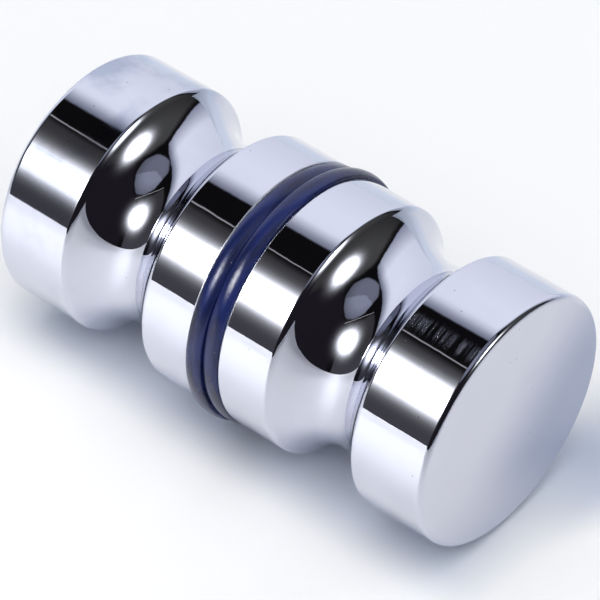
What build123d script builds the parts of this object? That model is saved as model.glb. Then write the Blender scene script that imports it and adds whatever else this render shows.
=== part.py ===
"""Back-to-back shower door handle: two turned knobs on one stud, with two gaskets between them.

The knobs' common axis is Y, horizontal as on a closed door. The front knob points along -Y and
the back knob along +Y. The origin is where the two gaskets meet, in the middle plane of the
glass, and +Z is up.
"""

import os
from math import cos, radians, sin, tan

from build123d import *

# Knob, turned from bar, mm
knob_diameter = 32.0
base_length = 7.1
waist_length = 12.8
head_length = 10.1
waist_depth = 3.8
shoulder_radius = 2.5
rim_slope = 36.0  # degrees between the axis and the shoulder at a rim of the waist
steepest_slope = 55.0  # where the convex shoulder becomes the hollow flank
neck_slope = 38.0  # where the flank becomes the tighter arc of the neck
rim_chamfer = 0.1
end_chamfer = 0.5
base_chamfer = 0.2

# Stud and the tapped hole in each knob, threads drawn as plain cylinders, mm and degrees
stud_diameter = 8.0
stud_length = 30.0
stud_chamfer = 1.0
thread_clearance = 0.05
hole_depth = 17.0
mouth_chamfer = 0.6
drill_point_angle = 118.0

# Gaskets, moulded rings that lie loosely on the stud, mm and degrees
gasket_diameter = 33.0
gasket_thickness = 2.2
gasket_chamfer = 0.4
gasket_play = 0.5
back_gasket_slip = 0.4
front_gasket_slip = 0.15
slip_direction = 219.0  # from +X towards +Z, the way that the back gasket has slipped

# Sizes that follow
knob_radius = knob_diameter / 2
waist_start = base_length
waist_end = waist_start + waist_length
knob_length = waist_end + head_length
stud_radius = stud_diameter / 2
hole_radius = stud_radius + thread_clearance
hole_tip = hole_depth + hole_radius / tan(radians(drill_point_angle / 2))


def arc_points(start, radius, slopes):
    """Start, middle and end of an arc, as (radius from the axis, distance from the rim).

    The slopes are at its start and end. It is convex if they steepen and hollow if they ease.
    """
    first, last = (radians(slope) for slope in slopes)
    bend = radius if last > first else -radius
    return [
        (
            start[0] - bend * (cos(first) - cos(slope)),
            start[1] + bend * (sin(slope) - sin(first)),
        )
        for slope in (first, (first + last) / 2, last)
    ]


def waist_half():
    """Shoulder, flank and neck arcs, tangent to each other, from a rim to the middle of the waist.

    The radii of flank and neck are those that end level there at the full depth.
    """
    shoulder = arc_points((knob_radius, 0), shoulder_radius, (rim_slope, steepest_slope))
    run = waist_length / 2 - shoulder[-1][1]
    drop = waist_depth - (knob_radius - shoulder[-1][0])
    steep, join = radians(steepest_slope), radians(neck_slope)
    flank_run, flank_drop = sin(steep) - sin(join), cos(join) - cos(steep)
    neck_run, neck_drop = sin(join), 1 - cos(join)
    scale = neck_run * flank_drop - flank_run * neck_drop
    flank_radius = (neck_run * drop - neck_drop * run) / scale
    neck_radius = (flank_drop * run - flank_run * drop) / scale
    flank = arc_points(shoulder[-1], flank_radius, (steepest_slope, neck_slope))
    neck = arc_points(flank[-1], neck_radius, (neck_slope, 0))
    return shoulder, flank, neck


def knob_section():
    """Half section of a knob: x is the radius, y the distance from the face on the gasket."""
    base_corner = (knob_radius, 0)
    rims = [(knob_radius, waist_start), (knob_radius, waist_end)]
    end_corner = (knob_radius, knob_length)
    hole_mouth = (hole_radius, 0)
    with BuildSketch() as section:
        with BuildLine():
            Polyline(
                rims[0],
                base_corner,
                hole_mouth,
                (hole_radius, hole_depth),
                (0, hole_tip),
                (0, knob_length),
                end_corner,
                rims[1],
            )
            for arc in waist_half():
                ThreePointArc(*((radius, waist_start + along) for radius, along in arc))
                ThreePointArc(*((radius, waist_end - along) for radius, along in arc))
        make_face()
        for corner, size in (
            (base_corner, base_chamfer),
            (rims[0], rim_chamfer),
            (rims[1], rim_chamfer),
            (end_corner, end_chamfer),
            (hole_mouth, mouth_chamfer),
        ):
            chamfer(section.vertices().sort_by_distance(corner)[0], size)
    return section.sketch


def make_knob():
    """A knob on the +Y side, its base face on its gasket."""
    return Pos(0, gasket_thickness, 0) * revolve(knob_section(), Axis.Y)


def make_gasket(slip):
    """The gasket on the +Y side, slipped off the axis by part of the play in its hole."""
    hole_radius_on_stud = stud_radius + gasket_play
    outer_radius = gasket_diameter / 2
    with BuildSketch() as section:
        with Locations(((outer_radius + hole_radius_on_stud) / 2, gasket_thickness / 2)):
            Rectangle(outer_radius - hole_radius_on_stud, gasket_thickness)
        chamfer(section.vertices().group_by(Axis.X)[-1], gasket_chamfer)
    direction = radians(slip_direction)
    return Pos(slip * cos(direction), 0, slip * sin(direction)) * revolve(section.sketch, Axis.Y)


def make_stud():
    """The stud that both knobs screw on to, centred between them."""
    with BuildSketch() as section:
        with Locations((stud_radius / 2, 0)):
            Rectangle(stud_radius, stud_length)
        chamfer(section.vertices().group_by(Axis.X)[-1], stud_chamfer)
    return revolve(section.sketch, Axis.Y)


parts = {
    "front_knob": Rot(0, 0, 180) * make_knob(),
    "back_knob": make_knob(),
    "front_gasket": mirror(make_gasket(-front_gasket_slip), Plane.XZ),
    "back_gasket": make_gasket(back_gasket_slip),
    "threaded_stud": make_stud(),
}

os.makedirs("parts", exist_ok=True)
for name, shape in parts.items():
    export_step(shape, f"parts/{name}.step")
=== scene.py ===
"""Looks of the shower door handle: chrome knobs, navy gaskets and a threaded stud round the frame."""

from math import cos, pi, radians, sin, tan

import bpy
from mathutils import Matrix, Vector


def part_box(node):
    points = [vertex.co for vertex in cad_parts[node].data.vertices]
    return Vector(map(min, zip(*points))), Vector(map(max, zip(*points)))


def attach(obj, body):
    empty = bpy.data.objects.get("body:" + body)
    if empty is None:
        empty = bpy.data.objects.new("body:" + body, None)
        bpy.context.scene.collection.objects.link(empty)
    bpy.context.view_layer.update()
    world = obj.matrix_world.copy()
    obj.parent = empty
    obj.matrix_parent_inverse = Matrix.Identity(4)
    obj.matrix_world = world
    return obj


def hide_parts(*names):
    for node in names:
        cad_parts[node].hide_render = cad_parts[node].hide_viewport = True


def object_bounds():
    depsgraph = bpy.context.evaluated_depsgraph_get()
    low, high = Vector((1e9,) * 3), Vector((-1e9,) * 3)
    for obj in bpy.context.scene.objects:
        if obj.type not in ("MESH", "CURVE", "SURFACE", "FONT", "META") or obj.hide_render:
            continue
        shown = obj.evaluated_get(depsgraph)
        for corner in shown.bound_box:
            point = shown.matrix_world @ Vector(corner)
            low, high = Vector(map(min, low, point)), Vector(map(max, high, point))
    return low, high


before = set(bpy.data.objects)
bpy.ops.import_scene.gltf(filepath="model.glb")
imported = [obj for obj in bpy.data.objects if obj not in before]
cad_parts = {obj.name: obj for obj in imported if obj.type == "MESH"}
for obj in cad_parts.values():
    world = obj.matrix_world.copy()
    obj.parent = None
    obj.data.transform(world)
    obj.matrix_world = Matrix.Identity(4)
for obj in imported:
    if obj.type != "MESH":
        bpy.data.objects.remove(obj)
cad_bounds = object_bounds()

MM = 0.001

# Knob, turned from bar, metres and degrees
base_length = 7.1 * MM
waist_length = 12.8 * MM
waist_depth = 3.8 * MM
rim_slope = 36.0
steepest_slope = 55.0
neck_slope = 38.0
shoulder_round = 2.5 * MM
rim_round = 0.5 * MM
base_round = 0.25 * MM
end_round = 0.8 * MM
hole_depth = 17.0 * MM
thread_clearance = 0.05 * MM
mouth_chamfer = 0.6 * MM
drill_point_angle = 118.0
knob_segments = 512

# Gaskets, metres and degrees: the crown is the radius of the outside's shallow arc, and the slope
# is where a tighter arc takes over at both edges
gasket_hole_radius = 4.5 * MM
gasket_crown = 2.2 * MM
gasket_slope = 25.0
gasket_segments = 384

# Stud, metres, and the flat crest and root of its thread as shares of the pitch
stud_chamfer = 1.0 * MM
thread_pitch = 1.25 * MM
thread_depth = 0.613 * thread_pitch
thread_crest = 0.125
thread_root = 0.25
thread_segments = 40
thread_steps = 10

# Chrome: colours, roughness and what haze, wear and marks add to it, and sizes in metres
chrome_tint = (0.63, 0.645, 0.73)
hazy_tint = (0.42, 0.455, 0.56)
pit_tint = (0.05, 0.05, 0.06)
clean_roughness = 0.025
haze_roughness = 0.06
worn_roughness = 0.45
marks_roughness = 0.23
cloud_size = 11 * MM
blotch_size = 3.5 * MM
pit_spacing = 2.2 * MM
pit_radius = 0.12 * MM
wave_size = 3.5 * MM
wave_height = 0.014 * MM
ripple_size = 1.2 * MM
ripple_share = 0.22

# Places on the knobs where marks start and stop, metres along the axis or from it, and degrees
# round it from +X towards +Z. The marks of the comb wander by up to so many degrees.
worn_edge = (2.5 * MM, 2.42 * MM)
round_side = (15.3 * MM, 15.7 * MM)
back_head = (20 * MM, 24 * MM)
front_head = (-22 * MM, -22.6 * MM)
thumb_turn = (127, 132, 150, 158)
marks_start = (102.0, 106.0)
marks_stop = (119.0, 113.5)
marks_wander = 9
marks_width = 0.25 * MM

# Rubber: colours, roughness and what streaks add to it, and sizes in metres
navy_tints = (0.005, 0.009, 0.040), (0.012, 0.022, 0.125)
dust_tint = (0.35, 0.36, 0.40)
rubber_roughness = 0.15
streak_roughness = 0.16
rubber_gloss = 0.4
streak_size = 4 * MM
dust_spacing = 1.7 * MM
dust_radius = 0.09 * MM
grain_size = 0.22 * MM
grain_height = 0.02 * MM
scuff_place = (10.1 * MM, 1.3 * MM, 13.0 * MM)
scuff_reach = (1.5 * MM, 0.4 * MM)
crumb_size = 0.18 * MM

# Steel of the stud: colours clean and oily, roughness and what oil adds to it, and sizes in metres
steel_tints = (0.55, 0.55, 0.56), (0.40, 0.39, 0.38)
steel_roughness = 0.28
oil_roughness = 0.2
oil_size = 4 * MM
turning_size = 1.5 * MM
turning_height = 0.01 * MM

# Camera that took the photograph, degrees, metres and millimetres of lens and sensor
camera_azimuth = -49.37
camera_elevation = 43.80
camera_distance = 447.4 * MM
camera_lens = 231.3
sensor_width = 36.0
aim_offset = 0.66 * MM

white = (1.0, 1.0, 1.0)

# Light on matt surfaces: a level part, and an overhead part that narrows with its focus. They
# add up so that a level white surface renders as white.
ambient_light = (0.27, 0.29, 0.32)
overhead_azimuth, overhead_elevation = -131.0, 68.0
overhead_focus = 9.0

# Floor, and painted shade on it where the studio's light falls off: the floor is painted darker
# from one distance to another along a direction: azimuth, near and far distance in metres, and
# colour share at the far one
floor_reach = 4.0
floor_tint = (0.955, 0.964, 0.985)
floor_roughness = 0.42
painted_floor_shades = (
    (65, 72 * MM, 130 * MM, (0.84, 0.91, 1.0)),
    (155, 60 * MM, 220 * MM, (0.78, 0.79, 0.81)),
    (-150, 50 * MM, 110 * MM, (0.89, 0.89, 0.91)),
    (-170, 90 * MM, 300 * MM, (0.76, 0.76, 0.77)),
)

# Shade on the floor off the front knob's end: a point of its edge, the edge's azimuth and how
# soft it is, where it starts and stops along another azimuth, and where it starts towards -Y
shade_tint = (0.59, 0.635, 0.735)
shade_edge, shade_azimuth, shade_soft = (12 * MM, -40.5 * MM), 108.0, 7 * MM
shade_run_azimuth, shade_run = 139.37, (25 * MM, 37 * MM, 50 * MM, 75 * MM)
shade_front = (24 * MM, 33 * MM)

# Shade on the floor under the handle: where it starts and stops along X, and its end along Y
under_tint = (0.70, 0.75, 0.83)
under_width = (-17 * MM, -9 * MM, 14 * MM, 22 * MM)
under_end = (40 * MM, 30 * MM)

# Pool of light on the floor under the left softbox: middle, height in metres and cone in degrees
# of its lamp, its power in watts and its radius
pool_centre, pool_height, pool_cone = (-115 * MM, 50 * MM), 300 * MM, 42.0
pool_power = 1.2
pool_lamp_radius = 10 * MM


# Profiles: lists of (radius, along, radial part of the normal, part of the normal along the axis)


def arc(centre, radius, start, end, step):
    """Points of an arc round (radius, along), from one angle to another in degrees.

    Angle 0 points away from the axis and 90 along it.
    """
    count = max(2, int(abs(end - start) / step) + 1)
    points = []
    for i in range(count + 1):
        angle = radians(start + (end - start) * i / count)
        points.append((
            centre[0] + radius * cos(angle),
            centre[1] + radius * sin(angle),
            cos(angle),
            sin(angle),
        ))
    return points


def line(start, end, normal, count=1):
    """Points of a straight run with one normal."""
    return [(
        start[0] + (end[0] - start[0]) * i / count,
        start[1] + (end[1] - start[1]) * i / count,
        *normal,
    ) for i in range(count + 1)]


def slopes(first, last, count):
    """Slopes in radians from one to another in equal steps."""
    return [first + (last - first) * i / count for i in range(count + 1)]


def waist_half(radius):
    """Arcs of half a waist, as (radius, distance from the rim, slope): shoulder, flank and neck.

    The convex shoulder steepens from the rim's slope, and the hollow flank and neck ease it to 0.
    """
    rim, steep, join = radians(rim_slope), radians(steepest_slope), radians(neck_slope)
    run = shoulder_round * (sin(steep) - sin(rim))
    drop = shoulder_round * (cos(rim) - cos(steep))
    # Flank and neck radii that end level at the middle of the waist, at its full depth
    left, deep = waist_length / 2 - run, waist_depth - drop
    flank_run, neck_run = sin(steep) - sin(join), sin(join)
    flank_drop, neck_drop = cos(join) - cos(steep), 1 - cos(join)
    scale = flank_run * neck_drop - neck_run * flank_drop
    flank_round = (left * neck_drop - neck_run * deep) / scale
    neck_round = (flank_run * deep - left * flank_drop) / scale
    shoulder = [(
        radius - shoulder_round * (cos(rim) - cos(slope)),
        shoulder_round * (sin(slope) - sin(rim)),
        slope,
    ) for slope in slopes(rim, steep, 8)]
    flank = [(
        radius - drop - flank_round * (cos(slope) - cos(steep)),
        run + flank_round * (sin(steep) - sin(slope)),
        slope,
    ) for slope in slopes(steep, join, 12)]
    neck = [(
        radius - waist_depth + neck_round * (1 - cos(slope)),
        waist_length / 2 - neck_round * sin(slope),
        slope,
    ) for slope in slopes(join, 0, 24)]
    return shoulder + flank[1:] + neck[1:]


def waist_run(radius):
    """The waist from rim to rim, its rims rounded between the cylinder and the shoulder."""
    cut = rim_round * tan(radians(rim_slope / 2))
    half = arc((radius - rim_round, -cut), rim_round, 0, rim_slope, 6)
    start = half[-1][1]
    half += [(r, t, cos(slope), sin(slope)) for r, t, slope in waist_half(radius) if t > start]
    near = [(r, base_length + t, c, s) for r, t, c, s in half]
    far = [(r, base_length + waist_length - t, c, -s) for r, t, c, s in half[::-1]]
    return near + far[1:]


def knob_profile(radius, length, hole_radius):
    """Runs of the outline of a knob, from its drill point round to the middle of its end."""
    point_slope = radians(drill_point_angle / 2)
    tip = hole_depth + hole_radius / tan(point_slope)
    mouth_radius = hole_radius + mouth_chamfer
    waist = waist_run(radius)
    return [
        line((0, tip), (hole_radius, hole_depth), (-cos(point_slope), -sin(point_slope))),
        line((hole_radius, hole_depth), (hole_radius, mouth_chamfer), (-1, 0), 4),
        line((hole_radius, mouth_chamfer), (mouth_radius, 0), (-0.7071, -0.7071)),
        line((mouth_radius, 0), (radius - base_round, 0), (0, -1), 4),
        arc((radius - base_round, base_round), base_round, -90, 0, 12),
        line((radius, base_round), (radius, waist[0][1]), (1, 0), 8),
        waist,
        line((radius, waist[-1][1]), (radius, length - end_round), (1, 0), 8),
        arc((radius - end_round, length - end_round), end_round, 0, 90, 6),
        line((radius - end_round, length), (0, length), (0, 1), 12),
    ]


def lathe(name, runs, segments, place):
    """A solid turned round Y from runs of a profile. Each run keeps its own normals.

    place maps (x, along, z) to the object's frame.
    """
    def circle(shift):
        angles = [2 * pi * (i + shift) / segments for i in range(segments)]
        return [(cos(angle), sin(angle)) for angle in angles]

    # A point on the axis takes the normals of the middles of its faces
    turns, middles = circle(0), circle(0.5)
    verts, faces, normals, rings = [], [], [], {}
    origin = place(0, 0, 0)

    def ring(r, along):
        """Vertices of a ring, and whether it is only a point on the axis."""
        key = (round(r, 8), round(along, 8))
        if key not in rings:
            first = len(verts)
            if key[0]:
                verts.extend(place(r * c, along, r * s) for c, s in turns)
                rings[key] = list(range(first, first + segments)) + [first], False
            else:
                verts.append(place(0, along, 0))
                rings[key] = [first] * (segments + 1), True
        return rings[key]

    def ring_normals(point, angles):
        """Normals at a point of the profile, turned to each of the angles."""
        radial, axial = point[2:]
        away = [(place(radial * c, axial, radial * s) - origin).normalized() for c, s in angles]
        return away + away[:1]

    for run in runs:
        sides = [(*ring(*point[:2]), ring_normals(point, turns)) for point in run]
        for near, far, near_point, far_point in zip(sides, sides[1:], run, run[1:]):
            a, a_tip, a_away = near
            b, b_tip, b_away = far
            tip_away = ring_normals(near_point if a_tip else far_point, middles)
            for i in range(segments):
                if a_tip:
                    faces.append((b[i], b[i + 1], a[i]))
                    normals += b_away[i], b_away[i + 1], tip_away[i]
                elif b_tip:
                    faces.append((b[i], a[i + 1], a[i]))
                    normals += tip_away[i], a_away[i + 1], a_away[i]
                else:
                    faces.append((b[i], b[i + 1], a[i + 1], a[i]))
                    normals += b_away[i], b_away[i + 1], a_away[i + 1], a_away[i]
    mesh = bpy.data.meshes.new(name)
    mesh.from_pydata(verts, [], faces)
    mesh.update()
    mesh.shade_smooth()
    mesh.normals_split_custom_set(normals)
    piece = bpy.data.objects.new(name, mesh)
    bpy.context.scene.collection.objects.link(piece)
    return piece


def stand_for(piece, node, material):
    """Let a piece stand for a node of the part: it gets a material and hangs under the root, and the
    node is hidden.
    """
    piece.data.materials.append(material)
    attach(piece, "root")
    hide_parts(node)


def add_knob(node, side, material):
    """The chrome knob that stands for a node, on the +Y side (1) or the -Y side (-1)."""
    low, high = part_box(node)
    radius = (high.x - low.x) / 2
    face = min(abs(low.y), abs(high.y))
    length = high.y - low.y
    stud_low, stud_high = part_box("threaded_stud")
    hole_radius = (stud_high.x - stud_low.x) / 2 + thread_clearance

    def place(x, along, z):
        return Vector((x * side, (face + along) * side, z))

    runs = knob_profile(radius, length, hole_radius)
    knob = lathe(node + "_chrome", runs, knob_segments, place)
    stand_for(knob, node, material)


def add_gasket(node, side, material):
    """The navy ring that stands for a node, on the +Y side (1) or the -Y side (-1)."""
    low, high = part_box(node)
    centre = (low + high) / 2
    radius = (high.x - low.x) / 2
    thickness = high.y - low.y
    hole = gasket_hole_radius
    # The outside is a shallow arc that meets a tighter one at each side face
    edge = radians(gasket_slope)
    corner = (thickness / 2 - gasket_crown * sin(edge)) / (1 - sin(edge))
    flat = radius - (gasket_crown - corner) * (1 - cos(edge)) - corner

    def place(x, along, z):
        return Vector((centre.x + x * side, along * side, centre.z + z))

    near = arc((flat, corner), corner, -90, -gasket_slope, 8)
    crown = arc((radius - gasket_crown, thickness / 2), gasket_crown, -gasket_slope, gasket_slope, 6)
    far = arc((flat, thickness - corner), corner, gasket_slope, 90, 8)
    runs = [
        line((hole, thickness), (hole, 0), (-1, 0)),
        line((hole, 0), (flat, 0), (0, -1), 4),
        near + crown[1:] + far[1:],
        line((flat, thickness), (hole, thickness), (0, 1), 4),
    ]
    gasket = lathe(node + "_rubber", runs, gasket_segments, place)
    stand_for(gasket, node, material)


def add_stud(node, material):
    """The threaded stud that stands for a node: a helix of 60-degree threads with flat crests."""
    low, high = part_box(node)
    radius = (high.x - low.x) / 2
    length = high.y - low.y
    flank_share = 0.5 - (thread_crest + thread_root) / 2
    steps = int(length / thread_pitch) * thread_steps
    turns = thread_segments
    verts, faces = [(0, low.y, 0)], []
    for j in range(steps + 1):
        along = length * j / steps
        inset = stud_chamfer - min(along, length - along)
        for i in range(turns):
            phase = (along / thread_pitch - i / turns) % 1.0
            flank = (abs(phase - 0.5) - thread_crest / 2) / flank_share
            flank = min(1.0, max(0.0, flank))
            r = min(radius - thread_depth * flank, radius - max(0.0, inset))
            angle = 2 * pi * i / turns
            verts.append((r * cos(angle), low.y + along, r * sin(angle)))
    verts.append((0, high.y, 0))
    for i in range(turns):
        k = (i + 1) % turns
        faces.append((0, 1 + i, 1 + k))
        faces.append((len(verts) - 1, 1 + steps * turns + k, 1 + steps * turns + i))
        for j in range(steps):
            a, b = 1 + j * turns, 1 + (j + 1) * turns
            faces.append((a + i, b + i, b + k, a + k))
    mesh = bpy.data.meshes.new(node + "_thread")
    mesh.from_pydata(verts, [], faces)
    mesh.update()
    stud = bpy.data.objects.new(node + "_thread", mesh)
    bpy.context.scene.collection.objects.link(stud)
    stand_for(stud, node, material)


# Materials


def with_alpha(colour):
    """A colour with its alpha, or unchanged if it comes from a socket."""
    return colour if isinstance(colour, bpy.types.NodeSocket) else (*colour, 1)


class Nodes:
    """Short ways to add shader nodes to a tree."""

    def __init__(self, tree):
        self.tree = tree

    def add(self, kind, values, **settings):
        """A node of a kind, with its inputs set to numbers or linked to sockets."""
        node = self.tree.nodes.new(kind)
        for name, value in settings.items():
            setattr(node, name, value)
        for key, value in values.items():
            if isinstance(value, bpy.types.NodeSocket):
                self.tree.links.new(value, node.inputs[key])
            else:
                node.inputs[key].default_value = value
        return node

    def math(self, operation, *values):
        """An operation on one or two numbers."""
        return self.add("ShaderNodeMath", dict(enumerate(values)), operation=operation).outputs[0]

    def product(self, first, *others):
        """Numbers multiplied."""
        for other in others:
            first = self.math("MULTIPLY", first, other)
        return first

    def total(self, first, *others):
        """Numbers added."""
        for other in others:
            first = self.math("ADD", first, other)
        return first

    def vector(self, operation, one, two, output=0):
        """An operation on two vectors."""
        node = self.add("ShaderNodeVectorMath", {0: one, 1: two}, operation=operation)
        return node.outputs[output]

    def dot(self, one, two):
        """How far one vector reaches along another."""
        return self.vector("DOT_PRODUCT", one, two, "Value")

    def noise(self, place, size, detail):
        """Noise from 0 to 1 with lumps of about a size in metres."""
        values = {"Vector": place, "Scale": 0.5 / size, "Detail": detail}
        return self.add("ShaderNodeTexNoise", values).outputs[0]

    def speck(self, place, spacing, radius):
        """1 in round specks of a radius, scattered in cells of a spacing, both in metres."""
        cells = self.add("ShaderNodeTexVoronoi", {"Vector": place, "Scale": 1 / spacing})
        return self.ramp(cells.outputs["Distance"], radius / spacing, 0.4 * radius / spacing)

    def ramp(self, value, low, high):
        """0 below low, 1 above high and smooth between them."""
        values = {"Value": value, "From Min": low, "From Max": high}
        node = self.add("ShaderNodeMapRange", values, interpolation_type="SMOOTHSTEP")
        return node.outputs["Result"]

    def band(self, value, low, full, still_full, high):
        """1 between the two full values, and smooth down to 0 at low and high."""
        return self.product(self.ramp(value, low, full), self.ramp(value, high, still_full))

    def mix(self, share, one, two):
        """Colour one, and colour two in its place by a share."""
        values = {0: share, 6: with_alpha(one), 7: with_alpha(two)}
        return self.add("ShaderNodeMix", values, data_type="RGBA").outputs[2]

    def multiply(self, one, two):
        """Two colours multiplied."""
        values = {0: 1.0, 6: with_alpha(one), 7: with_alpha(two)}
        node = self.add("ShaderNodeMix", values, data_type="RGBA", blend_type="MULTIPLY")
        return node.outputs[2]

    def bump(self, shader, height, distance):
        """Relief of a shader's surface, as high in metres as the distance where the height is 1."""
        node = self.add("ShaderNodeBump", {"Height": height, "Distance": distance, "Strength": 1.0})
        self.tree.links.new(node.outputs[0], shader.inputs["Normal"])


def new_material(name):
    """A material with its tree, its shader, short ways to add nodes, and the place on the object."""
    material = bpy.data.materials.new(name)
    material.use_nodes = True
    tree = material.node_tree
    place = tree.nodes.new("ShaderNodeTexCoord").outputs["Object"]
    return material, tree, tree.nodes["Principled BSDF"], Nodes(tree), place


def chrome():
    """Chrome plate: slightly wavy, cloudy with wiping marks, and with a few dark pits."""
    material, tree, shader, nodes, place = new_material("chrome")
    side = nodes.add("ShaderNodeSeparateXYZ", {"Vector": place}).outputs
    turn = nodes.math("ARCTAN2", side["Z"], side["X"])
    from_axis = nodes.vector("MULTIPLY", place, (1, 0, 1))
    radius = nodes.add("ShaderNodeVectorMath", {0: from_axis}, operation="LENGTH").outputs["Value"]
    rounded = nodes.ramp(radius, *round_side)
    cloud = nodes.ramp(nodes.noise(place, cloud_size, 5), 0.35, 0.75)
    blotch = nodes.ramp(nodes.noise(place, blotch_size, 4), 0.45, 0.75)

    # Wiping marks, and a greasy film left by a thumb on the back knob's head
    back = nodes.ramp(side["Y"], *back_head)
    thumb = nodes.band(turn, *(radians(angle) for angle in thumb_turn))
    thumb = nodes.product(thumb, back, nodes.total(0.55, blotch), rounded)
    haze = nodes.total(nodes.product(cloud, blotch, nodes.total(0.25, back)), thumb)
    haze = nodes.math("MINIMUM", haze, 1.0)

    # Polishing marks across the top of the front knob's head, like the teeth of a comb
    teeth = nodes.noise(nodes.vector("MULTIPLY", place, (0.05, 1.0, 0.05)), marks_width, 3)
    edge = nodes.math("SUBTRACT", turn, nodes.product(teeth, radians(marks_wander)))
    marks = nodes.product(
        nodes.ramp(edge, *(radians(angle) for angle in marks_start)),
        nodes.ramp(turn, *(radians(angle) for angle in marks_stop)),
        nodes.ramp(teeth, 0.3, 0.65),
        nodes.ramp(side["Y"], *front_head),
        rounded,
    )

    tint = nodes.mix(haze, chrome_tint, hazy_tint)
    pits = nodes.speck(place, pit_spacing, pit_radius)
    tint = nodes.mix(nodes.product(pits, 0.6), tint, pit_tint)
    tree.links.new(tint, shader.inputs["Base Color"])
    shader.inputs["Metallic"].default_value = 1
    worn = nodes.ramp(nodes.math("ABSOLUTE", side["Y"]), *worn_edge)
    rough = nodes.total(
        clean_roughness,
        nodes.product(haze, haze_roughness),
        nodes.product(worn, worn_roughness),
        nodes.product(marks, marks_roughness),
    )
    tree.links.new(rough, shader.inputs["Roughness"])
    ripple = nodes.product(nodes.noise(place, ripple_size, 2), ripple_share)
    nodes.bump(shader, nodes.total(nodes.noise(place, wave_size, 2), ripple), wave_height)
    return material


def navy_rubber():
    """Glossy navy rubber with a fine grain, moulding streaks and a little pale dust."""
    material, tree, shader, nodes, place = new_material("navy rubber")
    streak = nodes.noise(nodes.vector("MULTIPLY", place, (1.0, 6.0, 1.0)), streak_size, 4)
    tint = nodes.mix(nodes.ramp(streak, 0.3, 0.7), *navy_tints)
    # Dust all over, and crumbs where the front gasket is scuffed
    dust = nodes.speck(place, dust_spacing, dust_radius)
    crumbs = nodes.ramp(nodes.noise(place, crumb_size, 1), 0.56, 0.66)
    scuff = nodes.ramp(nodes.vector("DISTANCE", place, scuff_place, "Value"), *scuff_reach)
    dust = nodes.math("MAXIMUM", dust, nodes.product(crumbs, scuff))
    tint = nodes.mix(nodes.product(dust, 0.6), tint, dust_tint)
    tree.links.new(tint, shader.inputs["Base Color"])
    rough = nodes.total(rubber_roughness, nodes.product(streak, streak_roughness))
    tree.links.new(rough, shader.inputs["Roughness"])
    shader.inputs["Specular IOR Level"].default_value = rubber_gloss
    grain = nodes.total(nodes.noise(place, grain_size, 2), nodes.product(streak, 1.5))
    nodes.bump(shader, grain, grain_height)
    return material


def brushed_steel():
    """Turned and rolled steel of the stud, with a thin film of oil in places."""
    material, tree, shader, nodes, place = new_material("brushed steel")
    oil = nodes.ramp(nodes.noise(place, oil_size, 4), 0.4, 0.7)
    tree.links.new(nodes.mix(oil, *steel_tints), shader.inputs["Base Color"])
    shader.inputs["Metallic"].default_value = 1
    rough = nodes.total(steel_roughness, nodes.product(oil, oil_roughness))
    tree.links.new(rough, shader.inputs["Roughness"])
    lines = nodes.noise(nodes.vector("MULTIPLY", place, (1.0, 12.0, 1.0)), turning_size, 3)
    nodes.bump(shader, lines, turning_height)
    return material


# Studio


def direction(azimuth, elevation):
    """Unit vector towards a direction in degrees: azimuth 0 is +Y and 90 is +X."""
    a, e = radians(azimuth), radians(elevation)
    return Vector((sin(a) * cos(e), cos(a) * cos(e), sin(e)))


# What the chrome shows, drawn in this order over a dark room. A wall is a convex outline of
# (azimuth, elevation) corners, the width of its soft edge in degrees, its colour, and how it
# fades: each fade has two corners of a line, or None for the horizon, the degrees inside it where
# the fade starts and ends, and the share of the colour at the start.
cloth_wander = 0.03
cloth_waves = 14.0
room_colour = (0.0055, 0.005, 0.0055)
walls = (
    ("black room",
     [(-180, -6), (-188, 49), (-130, 60), (-86, 50), (-84, -6)],
     12, (0.016, 0.0135, 0.0175),
     ()),
    ("charcoal wall left",
     [(-76, -6), (-80, 50.5), (-15, 52), (-11.5, 45), (-15.5, 10), (-16, -6)],
     4, (0.050, 0.048, 0.050),
     ((None, 0, 25, (1.5, 1.5, 1.65)),)),
    ("charcoal wall right",
     [(113, -6), (119, 36), (123, 52), (160, 60), (180, 46), (181, -6)],
     8, (0.078, 0.077, 0.073),
     ((None, 0, 28, (0.42, 0.42, 0.45)),)),
    ("tent seam",
     [(-94, 51.7), (-14, 53.1), (-14, 53.9), (-94, 52.6)],
     0.6, (0.46, 0.44, 0.45),
     ()),
    ("roof",
     [(-97, 57), (-74, 59.6), (-42, 62.8), (13, 67.8), (61, 72.8), (102, 73.8), (141, 68.6),
      (177, 61.6), (-158, 59.3), (-126, 59)],
     3, (0.20, 0.21, 0.265),
     ((None, 62, 76, (0.62, 0.64, 0.62)),)),
    ("roof left",
     [(-151, 60), (-63, 87.4), (-12.7, 67.5), (-42.5, 62.8), (-74, 59.6), (-93, 58), (-102, 57),
      (-126, 59)],
     2.2, (0.32, 0.335, 0.42),
     ((None, 59, 74, (0.45, 0.47, 0.47)),)),
    ("sweep",
     [(-13, -12), (-8.7, 29), (-1, 46.7), (18, 62.8), (73, 72.6), (93, 70), (107, 65), (116, 59),
      (120.5, 51), (116, 30), (112, 8), (111, -12)],
     2.5, (1.06, 1.09, 1.18),
     ((((-8.7, 29), (-1, 46.7)), 0, 18, (0.85, 0.85, 0.87)),
      (((-1, 46.7), (18, 62.8)), 0, 12.5, (0.34, 0.35, 0.39)),
      (((18, 62.8), (73, 72.6)), 0, 8, (0.60, 0.61, 0.64)),
      (((120.5, 51), (116, 30)), 0, 21, (0.34, 0.35, 0.40)),
      (None, 0, 40, (0.83, 0.83, 0.86)))),
)
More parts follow.
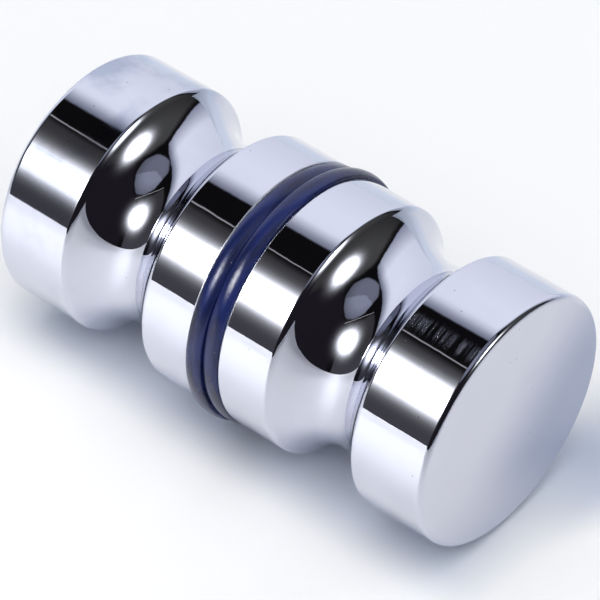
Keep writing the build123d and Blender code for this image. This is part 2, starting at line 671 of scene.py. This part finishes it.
# A softbox is an oval: the direction of its middle, its half width, half height and tilt in
# degrees, the degrees in which the glow round it falls to a third, and its brightness.
softboxes = (
    ("softbox left", (-64, 34.3), 17.3, 12.8, 13, 3.0, 1.7),
    ("softbox right", (167, 37.5), 12.6, 10.1, 0, 2.2, 1.7),
    ("lamp of left", (-64, 34.0), 11.0, 8.0, 13, 0.6, 24.0),
    ("lamp of right", (167, 37.5), 5.0, 4.0, 0, 0.6, 12.0),
)


def wall_mask(nodes, look, corners, soft):
    """How much of a wall a direction meets: 1 inside all its edges."""
    mask = 1.0
    middle = sum((direction(*corner) for corner in corners), Vector())
    width = sin(radians(soft)) / 2
    for one, two in zip(corners, corners[1:] + corners[:1]):
        edge = direction(*one).cross(direction(*two)).normalized()
        if edge.dot(middle) < 0:
            edge = -edge
        mask = nodes.product(mask, nodes.ramp(nodes.dot(look, edge), -width, width))
    return mask


def faded(nodes, look, colour, fades):
    """A wall's colour with its fades."""
    for edge, low, high, share in fades:
        axis = direction(0, 90)
        if edge is not None:
            axis = direction(*edge[0]).cross(direction(*edge[1])).normalized()
        inside = nodes.add("ShaderNodeMapRange", {
            "Value": nodes.dot(look, axis),
            "From Min": sin(radians(low)),
            "From Max": sin(radians(high)),
        })
        colour = nodes.multiply(colour, nodes.mix(inside.outputs["Result"], share, white))
    return colour


def softbox_glow(nodes, look, centre, half_width, half_height, tilt, spread):
    """1 inside an oval softbox, with a glow round it."""
    ahead = direction(*centre)
    level = ahead.cross(Vector((0, 0, 1))).normalized()
    rise = level.cross(ahead)
    turn = radians(tilt)
    across = level * cos(turn) - rise * sin(turn)
    up = across.cross(ahead)
    depth = nodes.math("MAXIMUM", nodes.dot(look, ahead), 0.01)
    x = nodes.math("DIVIDE", nodes.dot(look, across / tan(radians(half_width))), depth)
    y = nodes.math("DIVIDE", nodes.dot(look, up / tan(radians(half_height))), depth)
    reach = nodes.math("SQRT", nodes.total(nodes.product(x, x), nodes.product(y, y)))
    outside = nodes.math("MAXIMUM", nodes.math("SUBTRACT", reach, 1.0), 0.0)
    return nodes.math("EXPONENT", nodes.product(outside, -half_height / spread))


def studio_picture(nodes, look):
    """Colour of the studio in a direction. Edges of cloth are never quite straight."""
    waves = {"Vector": look, "Scale": cloth_waves, "Detail": 3.0}
    crease = nodes.add("ShaderNodeTexNoise", waves).outputs["Color"]
    crease = nodes.vector("SUBTRACT", crease, (0.5, 0.5, 0.5))
    crease = nodes.vector("MULTIPLY", crease, (cloth_wander, cloth_wander, cloth_wander))
    look = nodes.vector("ADD", look, crease)
    colour = room_colour
    for _, corners, soft, tint, fades in walls:
        mask = wall_mask(nodes, look, corners, soft)
        colour = nodes.mix(mask, colour, faded(nodes, look, tint, fades))
    for _, centre, half_width, half_height, tilt, spread, level in softboxes:
        glow = softbox_glow(nodes, look, centre, half_width, half_height, tilt, spread)
        colour = nodes.mix(glow, colour, (level, level, level))
    return colour


def plain_light(nodes, look):
    """Colour of the light on matt surfaces that comes from a direction."""
    middle = direction(overhead_azimuth, overhead_elevation)
    facing = nodes.math("MAXIMUM", nodes.dot(look, middle), 0.0)
    overhead = nodes.math("POWER", facing, overhead_focus)
    # The lobe's light on a level surface is 2 / (focus + 2) of its peak, less its slant
    peak = (overhead_focus + 2) / 2 / middle.z
    lit = [ambient + (1 - ambient) * peak for ambient in ambient_light]
    return nodes.mix(overhead, ambient_light, lit)


def add_world():
    """The studio round the handle, drawn by direction, and plain light for matt surfaces."""
    world = bpy.data.worlds.new("studio")
    bpy.context.scene.world = world
    world.use_nodes = True
    # Surfaces with rough gloss then show the same studio as mirrors do
    world.cycles.sampling_method = "NONE"
    tree = world.node_tree
    tree.nodes.clear()
    nodes = Nodes(tree)
    look = tree.nodes.new("ShaderNodeTexCoord").outputs["Generated"]
    picture = nodes.add("ShaderNodeBackground", {"Color": studio_picture(nodes, look)})
    plain = nodes.add("ShaderNodeBackground", {"Color": plain_light(nodes, look)})
    path = tree.nodes.new("ShaderNodeLightPath").outputs
    seen = nodes.math("MAXIMUM", path["Is Camera Ray"], path["Is Glossy Ray"])
    seen = nodes.math("MAXIMUM", seen, path["Is Transmission Ray"])
    both = nodes.add("ShaderNodeMixShader", {0: seen, 1: plain.outputs[0], 2: picture.outputs[0]})
    nodes.add("ShaderNodeOutputWorld", {"Surface": both.outputs[0]})


def floor_colour(nodes, place):
    """Colour of the floor and its painted shade: fades, off the front knob's end and underneath."""
    colour = floor_tint
    # Painted shade: the floor darker, and bluer towards +X, farther out along each direction
    for azimuth, near, far, share in painted_floor_shades:
        distance = nodes.dot(place, direction(azimuth, 0))
        colour = nodes.multiply(colour, nodes.mix(nodes.ramp(distance, near, far), white, share))
    across = direction(shade_azimuth + 90, 0)
    edge = across.dot(Vector((*shade_edge, 0)))
    beyond = nodes.math("SUBTRACT", nodes.dot(place, across), edge)
    shade = nodes.product(
        nodes.ramp(beyond, shade_soft / 2, -shade_soft / 2),
        nodes.band(nodes.dot(place, direction(shade_run_azimuth, 0)), *shade_run),
        nodes.ramp(nodes.dot(place, (0, -1, 0)), *shade_front),
    )
    colour = nodes.multiply(colour, nodes.mix(shade, white, shade_tint))
    side = nodes.add("ShaderNodeSeparateXYZ", {"Vector": place}).outputs
    under = nodes.product(
        nodes.band(side["X"], *under_width),
        nodes.ramp(nodes.math("ABSOLUTE", side["Y"]), *under_end),
    )
    return nodes.multiply(colour, nodes.mix(under, white, under_tint))


def add_floor():
    """A wide pale floor that the gaskets rest on."""
    lowest = cad_bounds[0][2]
    corners = [(-1, -1), (1, -1), (1, 1), (-1, 1)]
    mesh = bpy.data.meshes.new("floor")
    verts = [(floor_reach * x, floor_reach * y, lowest) for x, y in corners]
    mesh.from_pydata(verts, [], [(0, 1, 2, 3)])
    floor_piece = bpy.data.objects.new("floor", mesh)
    bpy.context.scene.collection.objects.link(floor_piece)
    material, tree, shader, nodes, place = new_material("floor")
    tree.links.new(floor_colour(nodes, place), shader.inputs["Base Color"])
    shader.inputs["Roughness"].default_value = floor_roughness
    mesh.materials.append(material)


def add_pool():
    """The pool of light on the floor under the left softbox, beside the handle."""
    lamp = bpy.data.lights.new("pool of light", "SPOT")
    lamp.energy = pool_power
    lamp.spot_size = radians(pool_cone)
    lamp.spot_blend = 1
    lamp.shadow_soft_size = pool_lamp_radius
    pool = bpy.data.objects.new("pool_of_light", lamp)
    pool.location = (*pool_centre, pool_height)
    pool.visible_glossy = False
    bpy.context.scene.collection.objects.link(pool)


def add_camera():
    """The camera at the photograph's place."""
    a, e = radians(camera_azimuth), radians(camera_elevation)
    right = Vector((cos(a), sin(a), 0))
    ahead = Vector((-sin(a) * cos(e), cos(a) * cos(e), -sin(e)))
    up = right.cross(ahead)
    data = bpy.data.cameras.new("camera")
    data.lens = camera_lens
    data.sensor_width = sensor_width
    data.clip_start = 10 * MM
    camera = bpy.data.objects.new("camera", data)
    camera.location = aim_offset * (right - up) - camera_distance * ahead
    camera.rotation_euler = ahead.to_track_quat("-Z", "Y").to_euler()
    bpy.context.scene.collection.objects.link(camera)
    bpy.context.scene.camera = camera


chrome_plate = chrome()
rubber = navy_rubber()
steel = brushed_steel()
add_knob("front_knob", -1, chrome_plate)
add_knob("back_knob", 1, chrome_plate)
add_gasket("front_gasket", -1, rubber)
add_gasket("back_gasket", 1, rubber)
add_stud("threaded_stud", steel)
add_world()
add_floor()
add_pool()
add_camera()
bpy.context.scene.view_settings.view_transform = "Standard"
